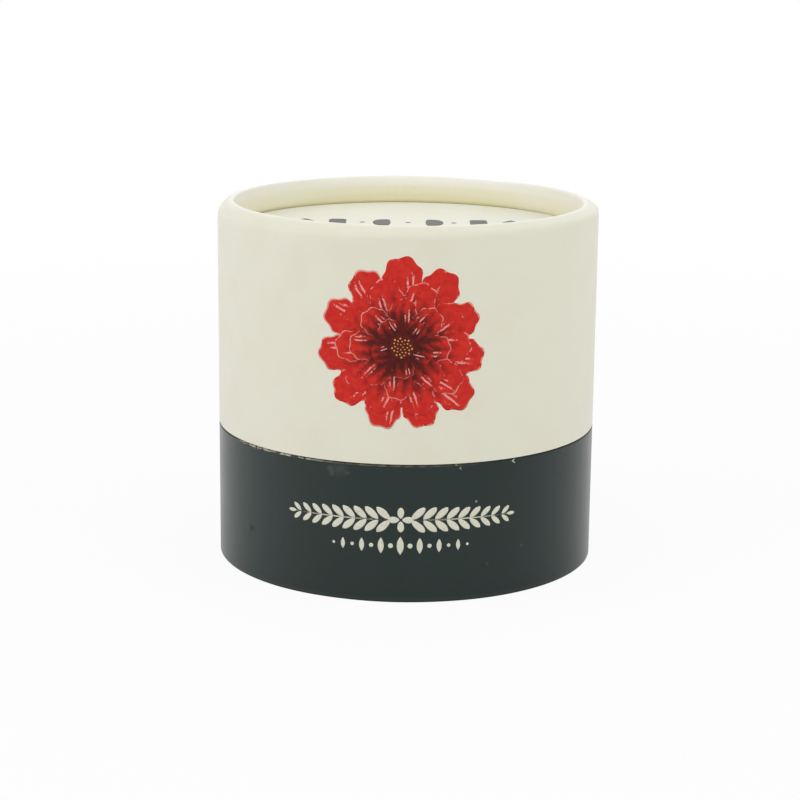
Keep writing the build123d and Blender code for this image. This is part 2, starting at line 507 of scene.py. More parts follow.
def petalLook(name, make):
    # Painted petal, dark towards the flower's middle, with a clump of pale strokes. The mark holds the place
    # along and across the petal, its edge, and a chance that is the same all over one petal.
    shade, where = newShade(name)
    mark = shade.mark("mark", "Color")
    along = shade.node("SeparateColor", {}, {"Color": mark}, "Red")
    across, edge, chance = along.beside("Green") * 2 - 1, along.beside("Blue"), mark.beside("Alpha")
    brush = shade.noise(where, make["brush"], 3, 0.8)
    fine = shade.noise(where, make["fine"], 2)
    arc, level = rosetteSet["middle"]
    away = shade.away(where, (arc, -outer * math.cos(arc / outer), level))
    streak = (across * 9 + 4 * brush + 9 * chance).wave()
    near, far = make["throat"]
    nightNear, nightFar = make["nightThroat"]
    depth = away + 1.6 * streak + 5 * (brush - 0.5) + 6 * (along - 0.5)
    colour = shade.mix(shade.rise(brush, 0.3, 0.75), make["red"], make["bright"])
    colour = shade.mix(shade.rise(depth, far, near), colour, make["maroon"])
    colour = shade.mix(shade.rise(depth, nightFar, nightNear), colour, make["night"])
    root = shade.rise(along + 0.12 * streak, 0.42, 0.1)
    colour = shade.mix(root * 0.7, colour, make["maroon"])
    # the clump of strokes stands where chance puts it on the petal
    beside = abs(across - 0.45 * (chance * 40).wave())
    beyond = abs(along - 0.62 - 0.12 * (chance * 71).wave())
    clump = shade.rise(beside + 1.6 * beyond + 0.7 * (fine - 0.5), 0.36, 0.22)
    strokes = shade.rise((across * 22 + 5 * chance + 2 * brush + 2.5 * along).wave(), 0.1, 0.6)
    colour = shade.mix(clump * strokes * 0.85, colour, make["pink"])
    rim = shade.band(edge, 0.93, 0.955, 0.985, 1.0) * shade.rise(brush + 0.3 * (chance - 0.5), 0.45, 0.55)
    colour = shade.mix(rim * shade.rise(depth, near, far) * 0.7, colour, make["outline"])
    rough = make["rough"] + 0.1 * (brush - 0.5)
    return shade.coated(colour, rough, shade.bump(fine, inkSet["relief"]), {"IOR": make["ior"]})


looks = {
    "cream": paperLook("creamPaper", creamSet),
    "white": paperLook("whitePaper", whiteSet),
    "satin": satinLook("darkSatinPaper", satinSet),
    "board": boardLook("greyBoard", boardSet),
    "foam": foamLook("padFoam", foamSet),
    "petal": petalLook("petalInks", petalSet),
    "creamInk": inkLook("creamInk", *inkSet["cream"]),
    "darkInk": inkLook("darkInk", *inkSet["dark"]),
    "goldInk": inkLook("goldInk", *inkSet["gold"]),
}
print("materials made:", len(looks))


# Mesh help

def meshPiece(name, points, quads, fans, look, body, marks):
    # points in millimetres, quads and fans as rows of point numbers, marks as named arrays, one row a point
    mesh = bpy.data.meshes.new(name)
    corners = np.concatenate([quads.ravel(), fans.ravel()]).astype(np.int32)
    counts = np.repeat([4, 3], [len(quads), len(fans)]).astype(np.int32)
    mesh.vertices.add(len(points))
    mesh.vertices.foreach_set("co", (points * mm).astype(np.float32).ravel())
    mesh.loops.add(len(corners))
    mesh.loops.foreach_set("vertex_index", corners)
    mesh.polygons.add(len(counts))
    mesh.polygons.foreach_set("loop_start", (np.cumsum(counts) - counts).astype(np.int32))
    mesh.polygons.foreach_set("loop_total", counts)
    mesh.update(calc_edges=True)
    mesh.polygons.foreach_set("use_smooth", np.ones(len(counts), bool))
    for key, values in marks.items():
        kind, field = ("FLOAT_COLOR", "color") if values.ndim == 2 else ("FLOAT", "value")
        written = mesh.attributes.new(key, kind, "POINT")
        written.data.foreach_set(field, values.astype(np.float32).ravel())
    mesh.materials.append(looks[look])
    piece = newObject(name, mesh)
    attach(piece, body)
    return piece


def gridFaces(rows, columns, rowsClose):
    # quads between neighbouring rings; columns always close on themselves
    row = np.arange(rows if rowsClose else rows - 1)[:, None]
    column = np.arange(columns)[None, :]
    here, above, nextColumn = row * columns, (row + 1) % rows * columns, (column + 1) % columns
    quads = [here + column, here + nextColumn, above + nextColumn, above + column]
    return np.stack(quads, -1).reshape(-1, 4)


def poleFaces(rows, columns):
    # triangles from the first and the last ring to a middle point each, numbered after all the ring points
    column = np.arange(columns)
    nextColumn, total = (column + 1) % columns, rows * columns
    last = total - columns
    low = np.stack([nextColumn, column, 0 * column + total], -1)
    high = np.stack([last + column, last + nextColumn, 0 * column + total + 1], -1)
    return np.concatenate([low, high])


def roundedOutline(corners, step, closed=True):
    # Each corner (radius, height, round) is swapped for an arc of its round that touches both straight
    # runs, with more points the larger and longer it is. A corner without a round stays as it is. A run
    # gets a point close beside each of its arcs, and others no further apart than step.
    points = np.array([corner[:2] for corner in corners], float)
    count, beside = len(points), 0.12
    arcs = []
    for number, (_, _, bend) in enumerate(corners):
        if bend == 0 or (not closed and number in (0, count - 1)):
            arcs.append(points[number:number + 1])
            continue
        before = points[number] - points[number - 1]
        after = points[(number + 1) % count] - points[number]
        before, after = before / np.hypot(*before), after / np.hypot(*after)
        turn = math.atan2(before[0] * after[1] - before[1] * after[0], before @ after)
        start = points[number] - before * bend * abs(math.tan(turn / 2))
        side = math.copysign(1, turn) * np.array([-before[1], before[0]])
        angle = np.linspace(0, turn, 4 + int(7 * bend ** 0.5 * abs(turn)))[:, None]
        spoke = -side * bend
        spokeTurned = np.array([-spoke[1], spoke[0]])
        arcs.append(start + side * bend + spoke * np.cos(angle) + spokeTurned * np.sin(angle))
    outline = []
    for number, arc in enumerate(arcs):
        outline.append(arc)
        if not closed and number == count - 1:
            break
        first, last = arc[-1], arcs[(number + 1) % count][0]
        length = np.hypot(*(last - first))
        if length > 4 * beside:
            inner = np.linspace(beside, length - beside, 2 + int(length / step))
            outline.append(first + (last - first) * inner[:, None] / length)
    return np.concatenate(outline)


def ring(count):
    # angles once round in equal steps
    return np.linspace(0, 2 * math.pi, count, endpoint=False)


def around(columns, extra=()):
    # angles once round, in radians, with extra ones given in degrees, which push out even ones close by
    even, closest = ring(columns), 0.0004
    more = np.radians(np.array(extra, float)) % (2 * math.pi)
    if len(more):
        apart = np.abs(even[:, None] - more[None, :]).min(1)
        even = even[apart > closest]
    return np.unique(np.concatenate([even, more]))


def turned(name, profile, angles, look, body, node, shift=None, **marks):
    # The outline is carried once round the upright axis: x = r cos a, y = r sin a, z = height.
    # shift gives how far each point moves out and up. The marks are what the paper's material reads: a
    # painted highlight on the crest, painted bounced light on the leg, glue with painted contact shade at its
    # foot, and core, where it is cut.
    poles = profile[0, 0] == 0
    rows = profile[1:-1] if poles else profile
    angle = angles[None, :]
    radius, height = rows[:, :1] + 0 * angle, rows[:, 1:] + 0 * angle
    out, up = shift(angle, radius, height) if shift else (0, 0)
    values = {key: mark(angle, radius, height).ravel() for key, mark in marks.items()}
    radius, height = radius + out, height + up
    points = np.stack([radius * np.cos(angle), radius * np.sin(angle), height], -1).reshape(-1, 3)
    quads, fans = gridFaces(len(rows), len(angles), not poles), np.zeros((0, 3), int)
    if poles:
        middles = [[0, 0, profile[0, 1]], [0, 0, profile[-1, 1] + float(np.mean(up))]]
        points, fans = np.concatenate([points, middles]), poleFaces(len(rows), len(angles))
        values = {key: np.append(row, [0, 0]) for key, row in values.items()}
    piece = meshPiece(name, points, quads, fans, look, body, values)
    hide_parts(node)
    return piece


cutRound = 0.04  # round of the cut edges of paper
discRound = {"board": 0.15, "cream": 0.05, "white": 0.05, "foam": 0.7}  # and of discs


def disc(name, body, node, look, step, columns, shift=None, rings=(), **marks):
    # flat round piece from pole to pole, with extra rings on its upper face
    radius, low, top = size[node]
    bend = discRound[look]
    upper = [(ringRadius, top, 0) for ringRadius in rings]
    corners = [(0, low, 0), (radius, low, bend), (radius, top, bend)] + upper + [(0, top, 0)]
    outline = roundedOutline(corners, step, False)
    return turned(name, outline, around(columns), look, body, node, shift, **marks)


def wallOutline(inside, outside, low, top, footRound, topRound, step):
    # upright wall, from the outside of its foot over the top to the inside
    corners = [(outside, low, footRound), (outside, top, topRound)]
    return roundedOutline(corners + [(inside, top, topRound), (inside, low, footRound)], step)


def foldedOutline(make, inside, outside, low, top, step):
    # paper up the outside of a board wall, over its top edge and turned in; inside is the bore of the wall
    bend, fold = make["round"], top - make["turnIn"]
    boardOutside, boardTop, boardBend = outside - paper, top - paper, bend - paper
    footOutside, footInside = make["feet"]
    over = [(outside, low, footOutside), (outside, top, bend), (inside - paper, top, bend)]
    end = [(inside - paper, fold, cutRound), (inside, fold, cutRound)]
    under = [(inside, boardTop, boardBend), (boardOutside, boardTop, boardBend)]
    return roundedOutline(over + end + under + [(boardOutside, low, footInside)], step)


def boardOutline(make, inside, outside, low, top, step):
    # the board wall under such paper; top is that of the paper
    return wallOutline(inside, outside, low, top - paper, make["boardCut"], make["round"] - paper, step)


def swell(value, low, high):
    # smooth step from 0 at low to 1 at high, for arrays
    share = np.clip((value - low) / (high - low), 0, 1)
    return share * share * (3 - 2 * share)


rippleSets = {  # seed, fewest waves round the box, one more than the most, and how many kinds are summed
    "pleats": (5, 60, 150, 9),
    "creases": (6, 8, 30, 6),
    "crest": (7, 2, 9, 5),
    "legEnd": (8, 1, 12, 6),
    "stain": (9, 2, 14, 7),
    "topSheet": (11, 1, 5, 4),
    "glueRing": (12, 3, 20, 8),
    "lining": (13, 3, 14, 6),
    "foot": (21, 3, 16, 7),
    "neckEdge": (31, 40, 120, 8),
    "pad": (41, 2, 7, 4),
}


def ripple(angle, name):
    # a sum of cosines with random phases, about -1 to 1, that closes on itself round the box
    seed, fewest, most, count = rippleSets[name]
    draw = np.random.default_rng(seed)
    turns = draw.integers(fewest, most, count)
    phases = draw.uniform(0, 2 * math.pi, count)
    weights = draw.uniform(0.4, 1, count)
    total = sum(w * np.cos(t * angle + p) for t, p, w in zip(turns, phases, weights))
    return total / np.sum(weights)


def uneven(angle, name):
    # the same from 0 to 1
    return 0.5 + 0.5 * ripple(angle, name)


# Glued laps: width and thickness, half width of the cut edge's step, how far to each side of it extra
# columns of points stand, radius and bearing in degrees. fade gives the depths below the paper's top where
# a lap starts to thin out and where it ends, and cutDepth the one from which its pale core shows.
outsideLap = {"width": 8.0, "thick": paper, "edge": 0.04, "beside": (0.02, 0.04, 0.1, 0.24), "radius": outer}
insideLap = {"width": 7.0, "thick": 0.1, "edge": 0.06, "beside": (0.05, 0.1, 0.3)}
lapSets = {
    "lid": {"bearing": 98, "top": lidTop, "fade": (6.3, 2.3), "cutDepth": 6.0, **outsideLap},
    "base": {"bearing": 104, "top": baseTop, "fade": (4.45, 0.45), "cutDepth": 5.0, **outsideLap},
    "neck": {"bearing": 262, "top": neckTop, "fade": (4.0, 1.0), "radius": neckRadius, **insideLap},
    "lining": {"bearing": 200, "radius": boreRadius, **insideLap},
}
coreHalf = 0.05  # half width of that core


def lapArc(angle, name):
    # distance along the paper from the lap's cut edge
    return (angle - math.radians(lapSets[name]["bearing"])) * lapSets[name]["radius"]


def lapStep(angle, name):
    # the second layer of a glued lap: full at its cut edge and thinning to nothing across its width
    make, arc = lapSets[name], lapArc(angle, name)
    return make["thick"] * swell(arc, -make["edge"], make["edge"]) * (1 - swell(arc, 0, make["width"]))


def fadingStep(angle, height, name):
    # the same, which ends below the top of its paper
    top, (start, end) = lapSets[name]["top"], lapSets[name]["fade"]
    return lapStep(angle, name) * (1 - swell(height, top - start, top - end))


def lapColumns(name):
    # extra angles that draw the lap's cut edge
    beside = np.array(lapSets[name]["beside"])
    arc = np.concatenate([-beside, [0], beside])
    return lapSets[name]["bearing"] + np.degrees(arc / lapSets[name]["radius"])


def onFace(radius):
    # whether a point is on the outer face of the lid's or the base's paper
    return radius > outer - paper / 2


def lapCut(angle, radius, height, name):
    # where the core of an outside lap's cut edge shows
    low = height < lapSets[name]["top"] - lapSets[name]["cutDepth"]
    return onFace(radius) & low & (np.abs(lapArc(angle, name)) < coreHalf)


# Lid

rimSet = {
    "outsideRound": 2.3,
    "insideDrop": 2.4,  # from the crest down to where the leg is upright
    "leg": 1.3,  # board of the rolled-in leg
    "boardCut": 0.06,  # round of the board's cut edge
    "press": 0.16,  # how far the leg presses the top sheet's edge down
    "tipGap": (0.03, 0.09),  # least and most between the leg's cut end and that edge
    "pleat": 0.03,
    "dent": (87.6, 67.2, 0.12, 0.5, 0.45),  # bearing from +X, height, depth, reach along and up
    "pressedLeft": (0.5, 3.0, 0.9),  # how far the roll is pressed in, from and fully at which depth
    "pressedRight": (0.35, 1.6, 0.4),
    "corner": (0.8, 2.3, 2.0, 1.2, 0.3),  # how much sharper it is low on the right, and at which depths
    "dip": (62, 14, 0.24),  # bearing from +X, half width and depth of a low stretch, in degrees and mm
    "waver": 0.04,  # how uneven the crest is
    "stain": 0.85,  # how strong the painted bounced light is, which makes the leg's paper yellower
    "stainDepths": (0.8, 3.1),  # below the crest, where that starts and is mostly there
    "stainShares": (0.6, 0.3),  # how much of it has come by then, and how much more at the top sheet
    "pale": 0.75,  # how strong the painted highlight on the crest is
    "paleDepths": (4.4, 2.8),  # below the crest, where that ends and is full
    "paleFurther": (1.5, 0.8),  # how much deeper both are at the left and right
    "glue": 0.8,  # how much of the glue and painted contact shade shows along the leg's foot
}
crestRadius = outer - rimSet["outsideRound"]
legRadius = boreRadius - rimSet["leg"] - paper


def rollCorners(inside):
    # The roll's outline, moved in by inside: a quarter round up to the crest, a taller quarter ellipse down
    # to the upright leg, and the leg's tip.
    turn = np.linspace(0, math.pi / 2, 16)
    bend, drop = rimSet["outsideRound"], rimSet["insideDrop"]
    narrow, wide = bend - inside, crestRadius - legRadius - inside
    side = [crestRadius + narrow * np.cos(turn), lidTop - bend + narrow * np.sin(turn)]
    down = [crestRadius - wide * np.sin(turn), lidTop - drop + (drop - inside) * np.cos(turn)]
    roll = np.concatenate([np.stack(side, -1), np.stack(down, -1)[1:]])
    leg = [(legRadius + inside, sheetTop + level, 0) for level in (2.3, 1.7, 1.2, 0.8, 0.5, 0.3)]
    return [(*point, 0) for point in roll] + leg + [(legRadius + inside, sheetTop, cutRound)]


def pressedIn(height, make):
    reach, start, full = make
    return reach * swell(height, lidTop - start, lidTop - full)


def rollShift(angle, radius, height):
    # The roll is pressed in on both sides, sharper low down on the right and low in one stretch. Its leg
    # ends just above the edge of the top sheet, which is pressed down.
    toRight = swell(np.cos(angle), 0, 1)
    pressed = swell(-np.cos(angle), -0.1, 1) * pressedIn(height, rimSet["pressedLeft"])
    pressed = pressed + toRight * pressedIn(height, rimSet["pressedRight"])
    pressed = pressed * swell(radius, legRadius - 0.1, legRadius + 0.7)
    share, start, full, fade, end = rimSet["corner"]
    corner = share * toRight * (radius > crestRadius) * swell(height, lidTop - start, lidTop - full)
    bulge = (outer - radius).clip(0) * corner * (1 - swell(height, lidTop - fade, lidTop - end))
    bearing, reach, depth = rimSet["dip"]
    low = depth * np.exp(-((angle - math.radians(bearing)) / math.radians(reach)) ** 2)
    low = (low + rimSet["waver"] * uneven(angle, "crest")) * swell(height, lidTop - 3, lidTop)
    least, most = rimSet["tipGap"]
    gap = least + (most - least) * uneven(angle, "legEnd")
    tip = (radius < boreRadius - 0.01) * (1 - swell(height, sheetTop, sheetTop + 1.5))
    return bulge - pressed, (gap - rimSet["press"]) * tip - low


def lidShift(angle, radius, height):
    # outside: the lap; leg: small pleats pressed into the board, and one dent
    out, up = rollShift(angle, radius, height)
    out = out + onFace(radius) * fadingStep(angle, height, "lid")
    legShare = swell(crestRadius - radius, 0, 0.8) * swell(height, sheetTop, sheetTop + 0.5)
    pleats = rimSet["pleat"] * (0.6 * ripple(angle, "pleats") + 0.4 * ripple(angle, "creases"))
    bearing, level, depth, along, upward = rimSet["dent"]
    arc = (angle - math.radians(bearing)) * crestRadius
    dent = depth * np.exp(-(arc / along) ** 2 - ((height - level) / upward) ** 2)
    return out + (pleats + dent) * legShare, up


def lidCut(angle, radius, height):
    # pale core along the lower cut, at the leg's tip and up the lap's edge
    low = height < seam + 0.03
    tip = (height < sheetTop + 0.03) & (radius < outer - 2)
    return (low | tip | lapCut(angle, radius, height, "lid")).astype(float)


def aside(angle):
    # 0 at the back and the front of the box, 1 at its left and right
    return swell(np.abs(np.cos(angle)), 0.1, 1)


def onLeg(radius, height):
    return (radius < boreRadius) & (height < lidTop)


def lidBouncedLight(angle, radius, height):
    # painted bounced light: the leg's paper is made yellower, most at the back and near the top sheet
    start, most = (lidTop - depth for depth in rimSet["stainDepths"])
    soon, later = rimSet["stainShares"]
    share = soon * swell(height, start, most) + later * swell(height, most, sheetTop)
    share = share * (1 - 0.4 * aside(angle)) * (1 + 0.2 * ripple(angle, "stain"))
    return rimSet["stain"] * onLeg(radius, height) * share


def glueShare(angle):
    # glue and painted contact shade all along the leg's foot, least on the right
    return rimSet["glue"] * (1 - 0.5 * swell(np.cos(angle), 0.3, 0.9))


def lidGlueAndShade(angle, radius, height):
    # darker along the lowest part of the leg: glue and painted contact shade
    return glueShare(angle) * onLeg(radius, height) * swell(height, sheetTop + 0.6, sheetTop)


def paintedCrestHighlight(angle, radius, height):
    # painted highlight: the crest's paper is made paler, further down on the left and right
    ends = zip(rimSet["paleDepths"], rimSet["paleFurther"])
    low, high = (lidTop - depth - further * aside(angle) for depth, further in ends)
    return rimSet["pale"] * swell(crestRadius - radius, -1.0, 0.4) * swell(height, low, high)


lidCuts = [(outer - paper, seam, cutRound), (outer, seam, cutRound)]
lidOutline = roundedOutline(rollCorners(0) + rollCorners(paper)[::-1] + lidCuts, 2.0)
turned(
    "lidPaper", lidOutline, around(620, lapColumns("lid")), "cream", "lid", "lid_wrap", lidShift,
    pale=paintedCrestHighlight, stain=lidBouncedLight, glue=lidGlueAndShade, core=lidCut,
)
lidBoardCuts = [(radius, seam, rimSet["boardCut"]) for radius in (boreRadius, outer - paper)]
lidBoard = roundedOutline(rollCorners(paper) + [(boreRadius, sheetTop, cutRound)] + lidBoardCuts, 4.0)
turned("lidBoardTube", lidBoard, around(480), "board", "lid", "lid_tube", rollShift)

sheetSet = {
    "rings": (0.1, -0.1, -0.3, -0.5, -0.7, -0.9, -1.2),  # extra rings of points, measured from the leg
    "lie": 0.03,  # how uneven it lies
    "waves": (14, 24, 33),  # radii where its waves are full, start to fade and have ended
    "flat": (30, 33.5),  # and where it starts to lie flat and lies flat
    "pressed": (-1.3, 0.1),  # where the edge starts to go down and is fully down, from the leg
    "glue": 0.8,
    "glueRing": (-0.7, 0.2, 0.5),  # middle of the ring of glue and painted contact shade, its wander and its softness
}


def sheetShift(angle, radius, height):
    # the top sheet is glued a little unevenly, and pressed down under the leg
    full, fading, gone = sheetSet["waves"]
    wave = ripple(angle, "topSheet") * swell(radius, 0, full) * (1 - swell(radius, fading, gone))
    low = sheetSet["lie"] * (0.5 + 0.5 * wave) * (1 - swell(radius, *sheetSet["flat"]))
    start, full = sheetSet["pressed"]
    low = low + rimSet["press"] * swell(radius, legRadius + start, legRadius + full)
    return 0 * radius, -low * (height > sheetTop - 0.05)


def sheetGlueAndShade(angle, radius, height):
    # the leg's glue and painted contact shade show on the top sheet too, as a narrow ring beside the leg
    place, wander, soft = sheetSet["glueRing"]
    edge = legRadius + place + wander * ripple(angle, "glueRing")
    share = sheetSet["glue"] * glueShare(angle)
    return share * swell(radius, edge - soft, edge + soft) * (height > sheetTop - 0.05)


sheetRings = [legRadius + away for away in sheetSet["rings"]]
disc("lidTopPaper", "lid", "lid_top_sheet", "cream", 1.5, 480, sheetShift, sheetRings, glue=sheetGlueAndShade)
disc("lidTopBoard", "lid", "lid_top_board", "board", 6.0, 240)
disc("lidCeilingPaper", "lid", "lid_ceiling_sheet", "white", 4.0, 300)


def liningShift(angle, radius, height):
    # faint overlap and waviness of a lining
    inward = 0.03 * uneven(angle, "lining") + lapStep(angle, "lining")
    return np.where(radius < boreRadius - paper / 2, -inward, 0), 0 * radius


def lining(name, body, node, step, angles, shift=None):
    radius, low, top = size[node]
    outline = wallOutline(radius - paper, radius, low, top, cutRound, cutRound, step)
    turned(name, outline, angles, "white", body, node, shift)


lining("lidLiningPaper", "lid", "lid_lining", 3.0, around(480, lapColumns("lining")), liningShift)
print("lid made")


# Base

baseSet = {
    "round": 0.45,
    "feet": (0.18, 0.02),  # rounds at the paper's foot, outside and inside
    "boardCut": 0.06,
    "turnIn": 6.0,
    "dimple": (-51.9, 9.8, 0.75, 0.09),  # bearing from the front towards +X, height, reach, depth
    "wavy": 0.04,
}


def baseShift(angle, radius, height):
    # the lap, a small dimple and a slightly wavy foot
    bearing, level, reach, depth = baseSet["dimple"]
    arc = (angle - math.radians(270 + bearing)) * outer
    dimple = depth * np.exp(-(arc / reach) ** 2 - ((height - level) / reach) ** 2)
    out = onFace(radius) * (fadingStep(angle, height, "base") - dimple)
    return out, baseSet["wavy"] * uneven(angle, "foot") * (1 - swell(height, 0, 1.5))


def baseCut(angle, radius, height):
    # pale core up the lap's edge and under the foot
    foot = (height < 0.02) & (radius < outer - 0.06)
    return (lapCut(angle, radius, height, "base") | foot).astype(float)


dimpleColumns = 270 + baseSet["dimple"][0] + np.degrees(np.linspace(-1.5, 1.5, 13) / outer)
baseAngles = around(680, np.concatenate([lapColumns("base"), dimpleColumns]))
baseOutline = foldedOutline(baseSet, boreRadius, outer, 0, baseTop, 1.0)
turned("basePaper", baseOutline, baseAngles, "satin", "base", "base_wrap", baseShift, core=baseCut)
baseBoard = boardOutline(baseSet, boreRadius, outer - paper, 0, baseTop, 4.0)
turned("baseBoardTube", baseBoard, around(480), "board", "base", "base_tube")
lining("baseLiningPaper", "base", "base_lining", 4.0, around(300))
disc("baseBottomBoard", "base", "base_board", "board", 6.0, 240)
disc("baseFootPaper", "base", "base_foot_sheet", "white", 2.0, 360)
disc("baseFloorPaper", "base", "floor_sheet", "white", 4.0, 240)
print("base made")


# Neck

neckSet = {
    "round": 0.55,
    "feet": (cutRound, cutRound),
    "turnIn": 12.0,
    "wrinkle": 0.02,
    "boardCut": 0.05,
    "liningCut": 0.03,
    "liningStep": (0.3, 0.7, 0.1),  # where the lining steps over the turned paper, and how round
}
neckBoardRadius, neckBoardLow = size["neck_tube"][:2]
neckBore, liningLow, liningTop = size["neck_lining"]


def neckShift(angle, radius, height):
    # a glued lap down one side of the neck's paper, and its slightly uneven turned top
    wrinkle = neckSet["wrinkle"] * ripple(angle, "neckEdge") * swell(height, neckTop - 0.8, neckTop)
    outside = radius > neckBoardRadius + paper / 2
    return outside * fadingStep(angle, height, "neck"), np.minimum(wrinkle, 0)


neckOutline = foldedOutline(neckSet, neckBore, neckRadius, neckLow, neckTop, 2.0)
turned("neckPaper", neckOutline, around(600, lapColumns("neck")), "cream", "base", "neck_wrap", neckShift)
neckBoard = boardOutline(neckSet, neckBore, neckBoardRadius, neckBoardLow, neckTop, 5.0)
turned("neckBoardTube", neckBoard, around(300), "board", "base", "neck_tube")


def neckLiningOutline(make):
    # the lining steps in by a paper where it covers the turned-in edge
    middle, inside = neckBore - paper, neckBore - 2 * paper
    cut, fold = make["liningCut"], neckTop - make["turnIn"]
    high, low, bend = make["liningStep"]
    glued = [(neckBore, liningLow, cut), (neckBore, fold, cut), (middle, fold, cut), (middle, liningTop, cut)]
    bore = [(inside, liningTop, cut), (inside, fold - high, bend), (middle, fold - low, bend)]
    return roundedOutline(glued + bore + [(middle, liningLow, cut)], 2.5)


turned("neckLiningPaper", neckLiningOutline(neckSet), around(480), "white", "base", "neck_lining")
print("neck made")


# Pad that the jar stands on: die-cut foam with a soft edge

padSet = {
    "crown": 0.12,
    "ring": (27, 1.2),  # radius and half width of the mark of a jar's foot
    "fill": 0.9,
}


def padShift(angle, radius, height):
    # slightly low in the middle where a jar has stood, with a faint ring left by its foot
    low, top = size["base_pad"][1:]
    ringRadius, reach = padSet["ring"]
    mark = np.exp(-((radius - ringRadius) / reach) ** 2)
    sunk = mark + 0.5 * (1 - swell(radius, 8, 26)) + 0.3 + 0.3 * ripple(angle, "pad")
    return 0 * radius, -padSet["crown"] * swell(height, low, top) * sunk


pad = disc("jarPad", "base", "base_pad", "foam", 1.2, 300, padShift)
print("pad made")


# Printed inks. A motif is a flat star-shaped outline, and each is laid on the paper as a film a few
# microns thick.

filmSet = {"thick": 0.003, "first": 0.004, "layer": 0.0042}


def leafShape(length, width, points, power, lean):
    # x = width sin(t)^power, widest above the middle by lean; y runs from 0 at the root to length
    turn = ring(points)
    share = (1 - np.cos(turn)) / 2
    side = np.sign(np.sin(turn)) * np.abs(np.sin(turn)) ** power
    return np.stack([width * side * (1 - lean + 2 * lean * share), length * share], -1)


def dotShape(radius, points):
    # a circle that stands on its foot
    turn = ring(points)
    return np.stack([radius * np.sin(turn), radius * (1 - np.cos(turn))], -1)


def motifs(shape, foot, heading=0.0, grow=1.0, layer=0.0, wobble=0.0, rings=6):
    # Copies of one outline: each is made grow times as large, turned to its heading and moved to its foot.
    # Returns the flat points, their marks and layers, ring by ring from the outline to the middle.
    foot = np.atleast_2d(np.asarray(foot, float))
    count = len(foot)
    heading, grow, layer = (np.zeros(count) + part for part in (heading, grow, layer))
    length, width = shape[:, 1].max(), np.abs(shape[:, 0]).max()
    middle = np.array([0, length * 0.55])
    inward = np.linspace(1, 0, rings + 1)[:-1]
    local = middle + (shape - middle)[None, None] * inward[None, :, None, None]
    local = np.repeat(local, count, 0)
    turn = np.arctan2(shape[:, 0], shape[:, 1] - middle[1])
    bend = dice.uniform(-1, 1, (count, 1, 1)) * wobble
    frill = dice.uniform(0, 6.28, (count, 1, 1))
    waves = wobble * 0.4 * np.sin(9 * turn + frill) * inward[None, :, None]
    across = local[..., 0] * (1 + waves)
    along = local[..., 1] * (1 + 0.4 * waves)
    x = across + bend * width * (along / length) ** 2
    pole = np.repeat(middle[None, None], count, 0)
    flat = np.concatenate([np.stack([x, along], -1).reshape(count, -1, 2), pole], 1)
    flat = flat * grow[:, None, None]
    cosine, sine = np.cos(heading)[:, None], np.sin(heading)[:, None]
    x, y = flat[..., 0], flat[..., 1]
    laid = np.stack([x * cosine + y * sine, y * cosine - x * sine], -1) + foot[:, None]

    edge = np.repeat(np.append(np.repeat(inward, len(shape)), 0)[None], count, 0)
    alongMark = np.append(local[0, ..., 1].ravel(), middle[1])[None] / length + 0 * edge
    acrossMark = 0.5 + 0.5 * np.append(local[0, ..., 0].ravel(), 0)[None] / width + 0 * edge
    chance = dice.uniform(0, 1, (count, 1)) + 0 * edge
    mark = np.stack([alongMark, acrossMark, edge, chance], -1)
    return {"flat": laid, "mark": mark, "layer": layer, "columns": len(shape), "rings": rings}


def inkFilm(name, groups, lay, look, body):
    # Each motif becomes a closed film: its upper face is the rings and their middle, its lower face the same
    # points a film's thickness down, and the two outlines are joined. lay puts flat points on the paper.
    points, marks, quads, fans, start = [], [], [], [], 0
    for group in groups:
        count, perFace = group["flat"].shape[:2]
        lift = filmSet["first"] + filmSet["layer"] * group["layer"][:, None]
        both = [lay(group["flat"], lift + filmSet["thick"]), lay(group["flat"], lift)]
        points.append(np.concatenate(both, 1).reshape(-1, 3))
        marks.append(np.concatenate([group["mark"], group["mark"]], 1).reshape(-1, 4))
        columns, rings = group["columns"], group["rings"]
        # an outline runs clockwise seen from outside, so the face winding is turned here
        sheet = gridFaces(rings, columns, False)[:, ::-1]
        column = np.arange(columns)
        nextColumn, inmost = (column + 1) % columns, (rings - 1) * columns
        fan = np.stack([inmost + nextColumn, inmost + column, 0 * column + rings * columns], -1)
        wall = np.stack([column, nextColumn, perFace + nextColumn, perFace + column], -1)
        oneQuads = np.concatenate([sheet, sheet[:, ::-1] + perFace, wall])
        oneFans = np.concatenate([fan, fan[:, ::-1] + perFace])
        bases = start + 2 * perFace * np.arange(count)[:, None, None]
        quads.append((oneQuads[None] + bases).reshape(-1, 4))
        fans.append((oneFans[None] + bases).reshape(-1, 3))
        start += 2 * perFace * count
    points, quads, fans, marks = (np.concatenate(part) for part in (points, quads, fans, marks))
    piece = meshPiece(name, points, quads, fans, look, body, {"mark": marks})


def onWall(flat, lift):
    # x of the flat design runs along the arc from the front, y is the height above the foot
    radius, angle = outer + lift, flat[..., 0] / cadRadius
    return np.stack([radius * np.sin(angle), -radius * np.cos(angle), flat[..., 1] + 0 * angle], -1)


def onTop(flat, lift):
    # x and y of the flat design are those of the box
    return np.stack([flat[..., 0], flat[..., 1], sheetTop + lift + 0 * flat[..., 0]], -1)


def wheel(count, radius, middle, offset=0.0):
    # feet and headings of motifs standing round a middle, each pointing outwards
    heading = ring(count) + offset
    feet = np.stack([middle[0] + radius * np.sin(heading), middle[1] + radius * np.cos(heading)], -1)
    return feet, heading


# Rosette on the lid: four tiers of petals round a seed head

